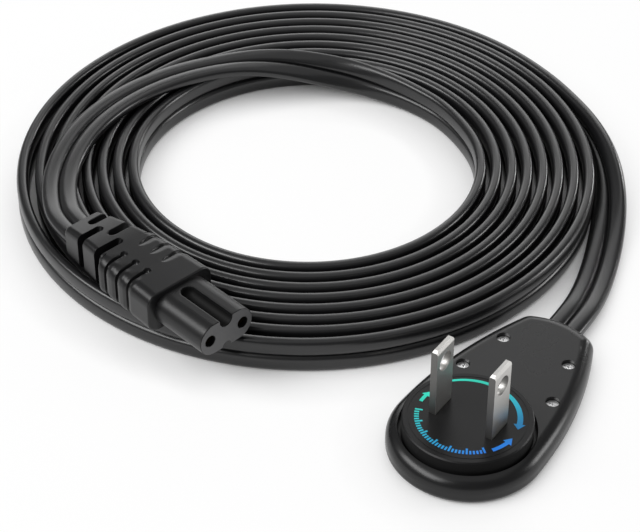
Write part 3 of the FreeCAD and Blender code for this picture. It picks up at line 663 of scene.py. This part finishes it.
def connector_frame():
    """Face centre, forward, sideways and up directions of the connector, from its two sockets."""
    left, right, mount = sockets()
    forward = Vector(mount["axis"]).normalized()
    depth = mount["dims"]["length_mm"] * MM
    face = (left + right) / 2 + forward * depth / 2
    return face, forward, (left - right).normalized(), Vector((0, 0, 1))


def connector_place(back, across, height):
    """Point on the connector, measured back from its face's centre."""
    face, forward, side, up = connector_frame()
    return face - forward * back + side * across + up * height


def loft(bm, sections):
    """Skin a row of equal sections, each a list of points."""
    rings = [[bm.verts.new(point) for point in section] for section in sections]
    count = len(rings[0])
    for first, second in zip(rings, rings[1:]):
        for j in range(count):
            k = (j + 1) % count
            bm.faces.new((first[j], second[j], second[k], first[k]))
    return rings


def steps_between(start, end, step):
    """Even places from start to end, both included."""
    count = max(1, round((end - start) / step))
    return [start + (end - start) * i / count for i in range(count + 1)]


def nose_section(sizes, back):
    """Section of the connector's nose this far back from its face."""
    inset = max(0.0, NOSE_EDGE - back)
    half_h = sizes.nose_height / 2
    outline = rounded_outline(sizes.nose_width / 2 - inset, half_h - inset, half_h - inset - NOSE_FLAT)
    radius = sizes.key_radius
    section = []
    for across, height in outline:
        off = math.hypot(across, max(0.0, back - sizes.key_length + radius))
        if height > 0 and off < radius:
            height -= sizes.key_depth - radius + math.sqrt(radius ** 2 - off ** 2)
        elif height > 0 and off < radius + KEY_RIM:
            height -= KEY_RIM_DROP * (1.0 - (off - radius) / KEY_RIM)
        if height < 0 and abs(across) < NOTCH_RADIUS and back < sizes.key_length:
            height += math.sqrt(NOTCH_RADIUS ** 2 - across ** 2) * NOTCH_SHARE
        section.append((across, height))
    return section


def paint_key_groove_shade(bm, sizes):
    """Give the inside of the key groove its own material slot, which holds a painted shade."""
    face, _, side, up = connector_frame()
    top = sizes.nose_height / 2 - KEY_SHADE_FROM
    for quad in bm.faces:
        off = quad.calc_center_median() - face
        if abs(off.dot(side)) < sizes.key_radius and 0.0 < off.dot(up) < top:
            quad.material_index = KEY_SLOT


def pin_mouth(sizes, middle):
    """Rings of points down the mouth of a pin hole, its middle this far across the connector."""
    rings = []
    for back, share in PIN_MOUTH:
        ring = []
        for i in range(PIN_POINTS):
            turn = math.tau * i / PIN_POINTS
            across = middle + sizes.pin_radius * share * math.cos(turn)
            ring.append(connector_place(back * MM, across, sizes.pin_radius * share * math.sin(turn)))
        rings.append(ring)
    return rings


def connector_nose(sizes):
    """Nose with its key groove and two pin holes."""
    bm = bmesh.new()
    backs = [0.0] + steps_between(NOSE_EDGE, sizes.nose_length, NOSE_EDGE)
    sections = [[connector_place(b, *p) for p in nose_section(sizes, b)] for b in backs]
    rings = loft(bm, sections)
    paint_key_groove_shade(bm, sizes)
    bm.faces.new(rings[-1])
    left, right, _ = sockets()
    loops = [rings[0]]
    for side in (-1, 1):
        loops.append(loft(bm, pin_mouth(sizes, side * (left - right).length / 2))[0])
    edges = []
    for loop in loops:
        for first, second in zip(loop, loop[1:] + loop[:1]):
            edges.append(bm.edges.get((first, second)))
    filled = bmesh.ops.triangle_fill(bm, edges=edges, use_beauty=True)
    for face in filled["geom"]:
        if isinstance(face, bmesh.types.BMFace):
            face.material_index = FACE_SLOT
    bmesh.ops.recalc_face_normals(bm, faces=bm.faces)
    return bm


def grip_shape(sizes, back):
    """Half width, half height, corner and drop of the grip or relief, this far back from the nose."""
    if back <= sizes.grip_length:
        share = back / sizes.grip_length
        front = edge_inset(back, FRONT_EDGE)
        rear = edge_inset(sizes.grip_length - back, REAR_EDGE)
        half_w = (sizes.grip_width + share * (sizes.grip_rear - sizes.grip_width)) / 2 - front - rear
        return half_w, sizes.grip_height / 2 - front, GRIP_CORNER, 0.0
    share = (back - sizes.grip_length) / sizes.relief_length
    inset = edge_inset(sizes.relief_length * (1 - share), REAR_EDGE)
    half_w = (sizes.relief_width + share * (sizes.relief_rear - sizes.relief_width)) / 2 - inset
    bend = share ** 2
    half_h = (RELIEF_HALF_HEIGHT - RELIEF_THINNING * bend) * MM - inset
    return half_w, half_h, RELIEF_CORNER, (RELIEF_DROP * bend - RELIEF_RISE) * MM


def grip_section(sizes, back):
    """Section of the grip and relief with finger grooves and flexing slots."""
    half_w, half_h, corner, drop = grip_shape(sizes, back)
    # The inner outline lies a millimetre in, so a depth in millimetres is a share of the way to it
    outer = rounded_outline(half_w, half_h, corner)
    inner = rounded_outline(half_w - MM, half_h - MM, corner - MM)
    core = rounded_outline(CORE_HALF_WIDTH, CORE_HALF_HEIGHT, CORE_CORNER)
    relief = (back - sizes.grip_length) / sizes.relief_length
    section = []
    for (a, h), (ia, ih), (ca, ch) in zip(outer, inner, core):
        depth = finger_groove(sizes, back, a)
        a += (ia - a) * depth
        h += (ih - h) * depth - drop
        cut = relief_slot(sizes, back, a)
        h += (ch - CORE_DROP * max(0.0, relief) - h) * cut
        a += (ca - a) * cut
        section.append((a, h))
    return section


def scoop_depth(off, across):
    """Depth of one scoop in millimetres: it falls slowly towards the rear and ends in a steep wall."""
    inward = min(1.0, max(0.0, SCOOP_OUTER - across) / SCOOP_REACH)
    spread = max(SCOOP_THINNEST, math.sqrt(1.0 - inward ** 2))
    share = (off + SCOOP_FRONT * spread) / (SCOOP_LENGTH * spread)
    if not 0.0 < share < 1.0:
        return 0.0
    return SCOOP_DEPTH * spread * min(share ** SCOOP_CURVE, (1.0 - share) / SCOOP_WALL)


def finger_groove(sizes, back, across):
    """Depth in millimetres of the finger grooves: dimpled lines on one side, scoops on the other."""
    depth = 0.0
    inner = math.copysign(GROOVE_INNER, across)
    outward = smoothstep(*FLARE_START, abs(across) / MM)
    for i in range(GROOVES):
        off = back - sizes.groove_first - i * sizes.groove_spacing
        if across > 0:
            depth = max(depth, scoop_depth(off / MM, across / MM))
            continue
        line = capsule_distance(off, across, inner) / MM
        dimple = math.hypot(off, across - inner) / MM
        cut = GROOVE_DEPTH * (1.0 - smoothstep(*GROOVE_HALF, line))
        hollow = DIMPLE_DEPTH * math.sqrt(max(0.0, 1.0 - (dimple / DIMPLE_RADIUS) ** 2))
        flare = outward * FLARE_DEPTH * (1.0 - smoothstep(*FLARE_HALF, line))
        depth = max(depth, cut, hollow, flare)
    return depth


def relief_slot(sizes, back, across):
    """1 inside the flexing slots of the relief, which reach in from alternate sides."""
    step = sizes.relief_length / SLOT_STEPS
    deepest = 0.0
    for i in range(SLOTS):
        off = back - sizes.grip_length - step * (i + 0.5)
        side = 1 if i % 2 else -1
        line = capsule_distance(off, across, side * SLOT_INNER) / MM
        deepest = max(deepest, 1.0 - smoothstep(*SLOT_HALF, line))
    return deepest


def connector_grip(sizes):
    """Moulded grip and strain relief."""
    bm = bmesh.new()
    grip_end = sizes.grip_length
    end = grip_end + sizes.relief_length
    backs = steps_between(SLIVER, FRONT_EDGE, EDGE_STEP)
    backs += steps_between(GRIP_FIRST, grip_end - SHORT_OF_END, GRIP_STEP)
    backs += steps_between(grip_end - REAR_EDGE, grip_end, REAR_STEP)
    backs += steps_between(grip_end + SLIVER, end - SHORT_OF_END, RELIEF_STEP)
    backs += steps_between(end - REAR_EDGE, end, REAR_STEP)
    nose = sizes.nose_length
    sections = [[connector_place(nose + b, *p) for p in grip_section(sizes, b)] for b in backs]
    rings = loft(bm, sections)
    bm.faces.new(reversed(rings[0]))
    bm.faces.new(rings[-1])
    bmesh.ops.recalc_face_normals(bm, faces=bm.faces)
    return bm


def prism(bm, outline, low, high):
    """Thin plate from an outline in metres."""
    bottom = [bm.verts.new((x, y, low)) for x, y in outline]
    top = [bm.verts.new((x, y, high)) for x, y in outline]
    bm.faces.new(top)
    bm.faces.new(reversed(bottom))
    count = len(outline)
    for i in range(count):
        j = (i + 1) % count
        bm.faces.new((bottom[i], bottom[j], top[j], top[i]))


def on_ring(radius, degrees):
    """Point on a circle about the disc's axis."""
    turn = math.radians(degrees)
    return (radius * math.cos(turn), radius * math.sin(turn))


def arc_arrow(start, end, radii, widths, head):
    """Outline of an arrow bent round the disc: radii and widths at both ends, and the head's sizes."""
    neck = end - math.copysign(head[0], end - start)
    outer = []
    inner = []
    for i in range(ARROW_STEPS + 1):
        share = i / ARROW_STEPS
        degrees = start + share * (neck - start)
        radius = radii[0] + share * (radii[1] - radii[0])
        half = (widths[0] + share * (widths[1] - widths[0])) / 2
        outer.append(on_ring(radius + half, degrees))
        inner.append(on_ring(radius - half, degrees))
    wing = head[1] / 2
    tip = [on_ring(radii[1] + wing, neck), on_ring(radii[1], end), on_ring(radii[1] - wing, neck)]
    return outer + tip + inner[::-1]


def dial_tick(degrees, inner, outer, width):
    """Outline of a short straight mark that points at the disc's axis."""
    turn = math.radians(degrees)
    aim = (math.cos(turn), math.sin(turn))
    half = width / 2
    corners = ((inner, -half), (outer, -half), (outer, half), (inner, half))
    return [(aim[0] * r - aim[1] * s, aim[1] * r + aim[0] * s) for r, s in corners]


def disc_print(disc):
    """Turning arrows and a plain dial, as thin raised ink."""
    bm = bmesh.new()
    outlines = []
    for start, end, past, widths, (head_length, head_width) in ARROWS:
        radii = [disc.ring + value * MM for value in past]
        widths = [value * MM for value in widths]
        outlines.append(arc_arrow(start, end, radii, widths, (head_length, head_width * MM)))
    outer = disc.ring + TICK_OUTWARD
    for i in range(disc.ticks):
        degrees = TICK_FIRST - TICK_SWEEP * i / (disc.ticks - 1)
        short = 0.0 if i % LONG_TICK_EVERY == 0 else TICK_SHORTER
        outlines.append(dial_tick(degrees, disc.ring - TICK_INWARD + short, outer, TICK_WIDTH))
    for outline in outlines:
        prism(bm, outline, disc.top - INK_SUNK, disc.top + disc.ink)
    bmesh.ops.recalc_face_normals(bm, faces=bm.faces)
    return bm


def coil_point(angle, radius, height):
    """Point about the coil's centre, its angle clockwise from the photograph's right, in millimetres."""
    turn = math.radians(COIL_RIGHT - angle)
    return (COIL_CENTRE[0] + radius * math.cos(turn), COIL_CENTRE[1] + radius * math.sin(turn), height)


def outer_slack(turned):
    """Millimetres by which the outermost turn lies wider at the left, this many degrees in."""
    if turned > SLACK_END:
        return 0.0
    return SLACK_MOST * max(0.0, math.cos(math.radians(turned - SLACK_MIDDLE)))


def lead_route(lead):
    """Control points of the whole lead, from the plug to the connector, in metres."""
    middle = lead.width / MM / 2
    ease = 1.0 / math.cos(math.radians(COIL_STEP / 2))
    points = list(LEAD_ROUTE)
    points += [coil_point(*place) for place in LEAD_JOIN]
    last = 360 * lead.turns
    for angle in range(last - COIL_JOIN, -1, -COIL_STEP):
        radius = (lead.first_radius + lead.pitch * angle / 360) / MM + outer_slack(last - angle)
        points.append(coil_point(angle, radius * ease, middle))
    points += [coil_point(*place) for place in TAIL_RISE]
    points += TAIL_ROUTE
    return [Vector(p) * MM for p in points]


def smooth_line(name, points, resolution):
    """Points along a smooth NURBS line with these control points."""
    curve = bpy.data.curves.new(name, "CURVE")
    curve.dimensions = "3D"
    curve.resolution_u = resolution
    spline = curve.splines.new("NURBS")
    spline.points.add(len(points) - 1)
    for point, place in zip(spline.points, points):
        point.co = (*place, 1.0)
    spline.order_u = 3
    spline.use_endpoint_u = True
    holder = bpy.data.objects.new(name, curve)
    bpy.context.scene.collection.objects.link(holder)
    bpy.context.view_layer.update()
    mesh = bpy.data.meshes.new_from_object(holder)
    line = [v.co.copy() for v in mesh.vertices]
    bpy.data.meshes.remove(mesh)
    bpy.data.objects.remove(holder)
    bpy.data.curves.remove(curve)
    return line


def lobe_outline(lead):
    """Twin-lobed section: points across the width and through the thickness."""
    half_w = lead.width / 4
    half_t = lead.thickness / 2
    power = 2.0 / LOBE_SQUARENESS
    lobe = []
    for degrees in LOBE_ANGLES:
        c = math.cos(math.radians(degrees))
        s = math.sin(math.radians(degrees))
        across = half_w + half_w * LOBE_SHARE * math.copysign(abs(c) ** power, c)
        through = half_t * s ** power
        lobe.append((across, through))
    upper = lobe + [(0.0, lead.groove)] + [(-a, b) for a, b in reversed(lobe)]
    lower = [(a, -b) for a, b in reversed(upper[1:-1])]
    return upper + lower


def lead_twist(lead, start, end):
    """Lean of the lead's width from upright, at distances from the plug and from the connector."""
    from_plug = 1.0 - smoothstep(lead.lead_flat, lead.lead_flat + lead.lead_twist, start)
    from_connector = 1.0 - smoothstep(lead.tail_flat, lead.tail_flat + lead.tail_twist, end)
    return math.radians(90.0 * max(from_plug, from_connector))


def flat_tube(lead, line):
    """Mesh of the flat lead along a line of ring centres, with a map of its length."""
    outline = lobe_outline(lead)
    count = len(outline)
    steps = [0.0]
    for a, b in zip(line, line[1:]):
        steps.append(steps[-1] + (b - a).length)
    total = steps[-1]
    bm = bmesh.new()
    uv = bm.loops.layers.uv.new("lead")
    up = Vector((0, 0, 1))
    rings = []
    for i, centre in enumerate(line):
        heading = (line[min(i + 1, len(line) - 1)] - line[max(i - 1, 0)]).normalized()
        out = heading.cross(up).normalized()
        rise = out.cross(heading).normalized()
        lean = lead_twist(lead, steps[i], total - steps[i])
        wide = rise * math.cos(lean) + out * math.sin(lean)
        face = rise * math.sin(lean) - out * math.cos(lean)
        rings.append([bm.verts.new(centre + wide * a + face * b) for a, b in outline])
    for i in range(len(rings) - 1):
        for j in range(count):
            k = (j + 1) % count
            quad = bm.faces.new((rings[i][j], rings[i + 1][j], rings[i + 1][k], rings[i][k]))
            corners = ((i, j), (i + 1, j), (i + 1, j + 1), (i, j + 1))
            for loop, (ring, spot) in zip(quad.loops, corners):
                loop[uv].uv = (steps[ring], spot / count)
    bm.faces.new(reversed(rings[0]))
    bm.faces.new(rings[-1])
    bmesh.ops.recalc_face_normals(bm, faces=bm.faces)
    return bm, total


class PLUG_OT_lead(bpy.types.Operator):
    """Wind the flat twin lead from the plug round its coil to the connector"""

    bl_idname = "plug.lead"
    bl_label = "Flat lead"

    def execute(self, context):
        lead = context.scene.plug_lead
        line = smooth_line("lead_line", lead_route(lead), LINE_STEPS)
        bm, total = flat_tube(lead, line)
        sheath = sheath_plastic("lead_sheath", context.scene.plug_finish.sheath)
        piece = mesh_object("flat_lead", bm, sheath, HOUSING)
        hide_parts("cord_lead", "cord_coil", "cord_tail")
        ends = [bpy.data.objects["connector_nose"], bpy.data.objects["connector_grip"]]
        ends += [NODES["connector_contact_left"], NODES["connector_contact_right"]]
        return {"FINISHED"}


class PLUG_OT_housing(bpy.types.Operator):
    """Finish the housing's two covers and their screws"""

    bl_idname = "plug.housing"
    bl_label = "Housing"

    def execute(self, context):
        colours = context.scene.plug_finish
        dress(moulded_plastic("housing_satin", colours.housing), "front_cover", "back_cover")
        dress(plain_metal("screw_zinc", colours.zinc, roughness=0.3), "cover_screws")
        return {"FINISHED"}


class PLUG_OT_disc(bpy.types.Operator):
    """Finish the turning disc and print its ring of marks"""

    bl_idname = "plug.disc"
    bl_label = "Disc"

    def execute(self, context):
        colours = context.scene.plug_finish
        dress(moulded_plastic("disc_satin", colours.housing), "rotor_disc")
        ink = printed_ink("ring_ink", colours.teal, colours.blue)
        mesh_object("disc_print", disc_print(context.scene.plug_disc), ink, ROTOR)
        return {"FINISHED"}


class PLUG_OT_blades(bpy.types.Operator):
    """Finish the two blades"""

    bl_idname = "plug.blades"
    bl_label = "Blades"

    def execute(self, context):
        nickel = brushed_nickel("blade_nickel", context.scene.plug_finish.nickel)
        dress(nickel, "blade_left", "blade_right")
        soften(BLADE_EDGE, "blade_left", "blade_right")
        return {"FINISHED"}


class PLUG_OT_connector(bpy.types.Operator):
    """Shape and finish the two-hole connector"""

    bl_idname = "plug.connector"
    bl_label = "Connector"

    def execute(self, context):
        sizes = context.scene.plug_connector
        black = context.scene.plug_finish.housing
        satin = moulded_plastic("grip_satin", black)
        hard = moulded_plastic("nose_satin", black)
        nose = mesh_object("connector_nose", connector_nose(sizes), hard, HOUSING, sharp=30)
        # Painted light: the nose's face gets a lighter grey than the black plastic around it
        nose.data.materials.append(moulded_plastic("nose_face_painted_light", NOSE_FACE_PAINTED_LIGHT))
        # Painted shade: the inside of the key groove gets a near-black colour, darker than the plastic
        # around it
        nose.data.materials.append(moulded_plastic("key_groove_painted_shade", KEY_GROOVE_PAINTED_SHADE))
        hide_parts("connector_insert")
        grip = mesh_object("connector_grip", connector_grip(sizes), satin, HOUSING)
        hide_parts("connector_overmould")
        return {"FINISHED"}


class PLUG_OT_inner(bpy.types.Operator):
    """Finish the pieces inside the housing and the connector"""

    bl_idname = "plug.inner"
    bl_label = "Inner pieces"

    def execute(self, context):
        brass = plain_metal("contact_brass", CONTACT_BRASS, roughness=0.28)
        copper = plain_metal("strand_copper", STRAND_COPPER, roughness=0.3)
        steel = plain_metal("inner_zinc", context.scene.plug_finish.zinc, roughness=0.32)
        core = moulded_plastic("core_sheath", CORE_BLACK)
        carrier = moulded_plastic("carrier_grey", CARRIER_GREY)
        # Painted shade: the connector's contact sleeves get a dark brass so the pin holes read black
        shaded_sleeve = plain_metal("contact_sleeve_painted_shade", SLEEVE_BRASS_PAINTED_SHADE, roughness=0.45)
        dress(brass, "outer_contact_spring", "inner_contact_spring", "outer_slip_ring", "inner_slip_ring")
        dress(shaded_sleeve, "connector_contact_left", "connector_contact_right")
        dress(copper, "live_strands", "neutral_strands")
        dress(steel, "lead_clamp", "clamp_screws", "carrier_screws")
        dress(core, "live_core", "neutral_core")
        dress(carrier, "ring_carrier")
        return {"FINISHED"}


def softbox(name, place, target, along, size, power):
    """Rectangular lamp aimed at a point, its first side along a direction."""
    lamp = bpy.data.lights.new(name, "AREA")
    lamp.shape = "RECTANGLE"
    lamp.size = size[0]
    lamp.size_y = size[1]
    lamp.energy = power
    holder = bpy.data.objects.new(name, lamp)
    holder.location = place
    holder.rotation_mode = "QUATERNION"
    back = (Vector(place) - Vector(target)).normalized()
    side = (Vector(along) - back * back.dot(Vector(along))).normalized()
    holder.rotation_quaternion = Matrix((side, back.cross(side), back)).transposed().to_quaternion()
    bpy.context.scene.collection.objects.link(holder)


def white_floor():
    """Matt white floor that keeps the lamps' shadows, with a white glow that fades near the object as a
    painted contact shadow.
    """
    finish = Finish("floor_white")
    mottle = finish.noise(scale=6.0)
    colour = finish.blend(mottle, *FLOOR_TONES)
    matt = finish.node("ShaderNodeBsdfDiffuse", inputs={"Color": colour})
    white = finish.node("ShaderNodeEmission", inputs={"Color": (1.0, 1.0, 1.0, 1.0), "Strength": 1.0})
    seen = finish.node("ShaderNodeLightPath", output="Is Camera Ray")
    for ray in ("Is Glossy Ray", "Is Transmission Ray"):
        seen = seen.math("MAXIMUM", seen, finish.node("ShaderNodeLightPath", output=ray))
    shadow_tilt_normal = finish.node("ShaderNodeCombineXYZ", inputs=PAINTED_SHADOW_TILT)
    near = {"Distance": PAINTED_SHADOW_REACH, "Normal": shadow_tilt_normal}
    # Painted shadow: the glow is cut where something stands near, judged about a tilted normal so the
    # shade falls to one side
    clear = finish.node("ShaderNodeAmbientOcclusion", {"samples": 8}, near, output="AO")
    share = seen * clear * clear * FLOOR_WHITE
    return finish.show(finish.node("ShaderNodeMixShader", inputs={0: share, 1: matt, 2: white}))


class PLUG_OT_stage(bpy.types.Operator):
    """Set the floor, the light and the camera"""

    bl_idname = "plug.stage"
    bl_label = "Stage"

    def execute(self, context):
        stage = context.scene.plug_stage
        scene = context.scene
        scene.view_settings.view_transform = "Standard"
        bm = bmesh.new()
        bmesh.ops.create_grid(bm, x_segments=4, y_segments=4, size=FLOOR_HALF)
        mesh = bpy.data.meshes.new("floor")
        bm.to_mesh(mesh)
        bm.free()
        mesh.materials.append(white_floor())
        floor = bpy.data.objects.new("floor", mesh)
        floor.location = FLOOR_PLACE
        scene.collection.objects.link(floor)
        world = bpy.data.worlds.new("even_light")
        world.use_nodes = True
        backdrop = world.node_tree.nodes["Background"]
        backdrop.inputs["Color"].default_value = (1.0, 1.0, 1.0, 1.0)
        backdrop.inputs["Strength"].default_value = stage.fill
        scene.world = world
        for lamp in LAMPS:
            softbox(*lamp)
        camera = bpy.data.cameras.new("photo_camera")
        camera.sensor_width = SENSOR
        camera.lens = stage.focal * SENSOR / IMAGE_WIDTH
        camera.clip_start = 0.01
        camera.clip_end = 20.0
        holder = bpy.data.objects.new("photo_camera", camera)
        holder.location = Vector(CAMERA_PLACE) * MM
        holder.rotation_mode = "QUATERNION"
        holder.rotation_quaternion = Vector(CAMERA_SIGHT).to_track_quat("-Z", "Y")
        scene.collection.objects.link(holder)
        scene.camera = holder
        return {"FINISHED"}


class PLUG_PT_panel(bpy.types.Panel):
    """Lists the steps that dress the plug"""

    bl_idname = "PLUG_PT_panel"
    bl_label = "Flat Plug"
    bl_space_type = "VIEW_3D"
    bl_region_type = "UI"
    bl_category = "Flat Plug"

    def draw(self, context):
        for operator in OPERATORS:
            self.layout.operator(operator.bl_idname)
        for group in SETTINGS:
            settings = getattr(context.scene, group)
            for key in settings.__annotations__:
                self.layout.prop(settings, key)


SETTINGS = {
    "plug_lead": LeadSettings,
    "plug_connector": ConnectorSettings,
    "plug_disc": DiscSettings,
    "plug_finish": FinishSettings,
    "plug_stage": StageSettings,
}
OPERATORS = (PLUG_OT_housing, PLUG_OT_disc, PLUG_OT_blades, PLUG_OT_connector, PLUG_OT_inner, PLUG_OT_lead,
             PLUG_OT_stage)
CLASSES = (*SETTINGS.values(), *OPERATORS, PLUG_PT_panel)


def register():
    for cls in CLASSES:
        bpy.utils.register_class(cls)
    for key, group in SETTINGS.items():
        setattr(bpy.types.Scene, key, PointerProperty(type=group))


def unregister():
    for key in SETTINGS:
        delattr(bpy.types.Scene, key)
    for cls in reversed(CLASSES):
        bpy.utils.unregister_class(cls)


def main():
    register()
    for operator in OPERATORS:
        group, step = operator.bl_idname.split(".")
        getattr(getattr(bpy.ops, group), step)()


if __name__ == "__main__":
    main()
